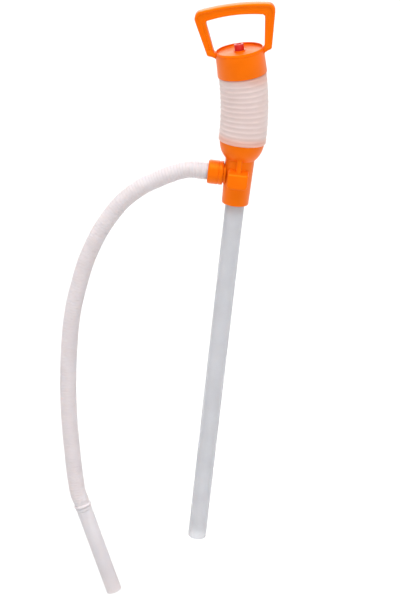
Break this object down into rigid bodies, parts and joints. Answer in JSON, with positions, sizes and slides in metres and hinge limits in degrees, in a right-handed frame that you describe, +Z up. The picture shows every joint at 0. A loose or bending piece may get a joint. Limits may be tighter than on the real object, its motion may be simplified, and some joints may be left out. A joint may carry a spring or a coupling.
{
  "type": "siphon pump",
  "caption": "Hand siphon pump: a squeeze bellows with a handle cap and air-release button, a lip hook, a suction pipe and a ribbed outlet hose.",
  "frame": {"origin": "on the barrel's axis, level with the seat of the lip hook, where the pump rests on the container's lip", "axes": "+Z up the barrel's axis towards the bellows and handle, -X towards the outlet nut and hose, -Y towards the lip hook's plate"},
  "size_m": [0.2205, 0.0805, 0.7693],
  "materials": {
    "orange_plastic": "moulded, semi-gloss",
    "red_plastic": "moulded, glossy",
    "bellows_plastic": "translucent, soft",
    "hose_plastic": "translucent, soft",
    "pipe_plastic": "translucent, smooth",
    "white_plastic": "moulded",
    "rubber": "matte",
    "spring_steel": "bright drawn"
  },
  "bodies": {
    "pump": {"pump_body": "orange_plastic", "bellows": "bellows_plastic", "bellows_seal": "rubber", "inlet_seat": "white_plastic", "inlet_cage": "white_plastic", "outlet_seat": "white_plastic", "suction_pipe": "pipe_plastic"},
    "head": {"cap_handle": "orange_plastic", "cap_gasket": "rubber", "release_spring": "spring_steel"},
    "button": {"release_button": "red_plastic", "release_seal": "rubber", "stem_clip": "spring_steel"},
    "inlet_valve": {"inlet_disc": "rubber"},
    "outlet_valve": {"outlet_flap": "rubber"},
    "hose_line": {"hose_washer": "rubber", "hose_spigot": "white_plastic", "hose_grip_ring": "white_plastic", "outlet_hose": "hose_plastic", "outlet_spout": "hose_plastic"},
    "nut": {"hose_nut": "orange_plastic"}
  },
  "joints": [
    {"name": "pump_stroke", "type": "slide", "parent": "pump", "child": "head", "axis": [-0.1146, -0.0298, 0.993], "range_m": [-0.035, 0.015], "stiffness_N_per_m": 1200, "deforming": ["bellows"]},
    {"name": "release_press", "type": "slide", "parent": "head", "child": "button", "axis": [0.2276, 0.0593, -0.972], "range_m": [0, 0.0025], "stiffness_N_per_m": 300, "springref_m": -0.002, "deforming": ["release_spring"]},
    {"name": "inlet_lift", "type": "slide", "parent": "pump", "child": "inlet_valve", "axis": [0, 0, 1], "range_m": [0, 0.0022]},
    {"name": "outlet_swing", "type": "hinge", "parent": "pump", "child": "outlet_valve", "pos_m": [-0.018, 0, 0.0029], "axis": [0, 1, 0], "range_deg": [0, 30]},
    {"name": "nut_travel", "type": "slide", "parent": "pump", "child": "hose_line", "axis": [-1, 0, 0], "range_m": [0, 0.0046]},
    {"name": "nut_turn", "type": "hinge", "parent": "hose_line", "child": "nut", "pos_m": [-0.027, 0, -0.004], "axis": [-1, 0, 0], "range_deg": [0, 540]}
  ],
  "couplings": [
    {"joint": "nut_travel", "follows": "nut_turn", "m_per_rad": 0.00047746}
  ]
}
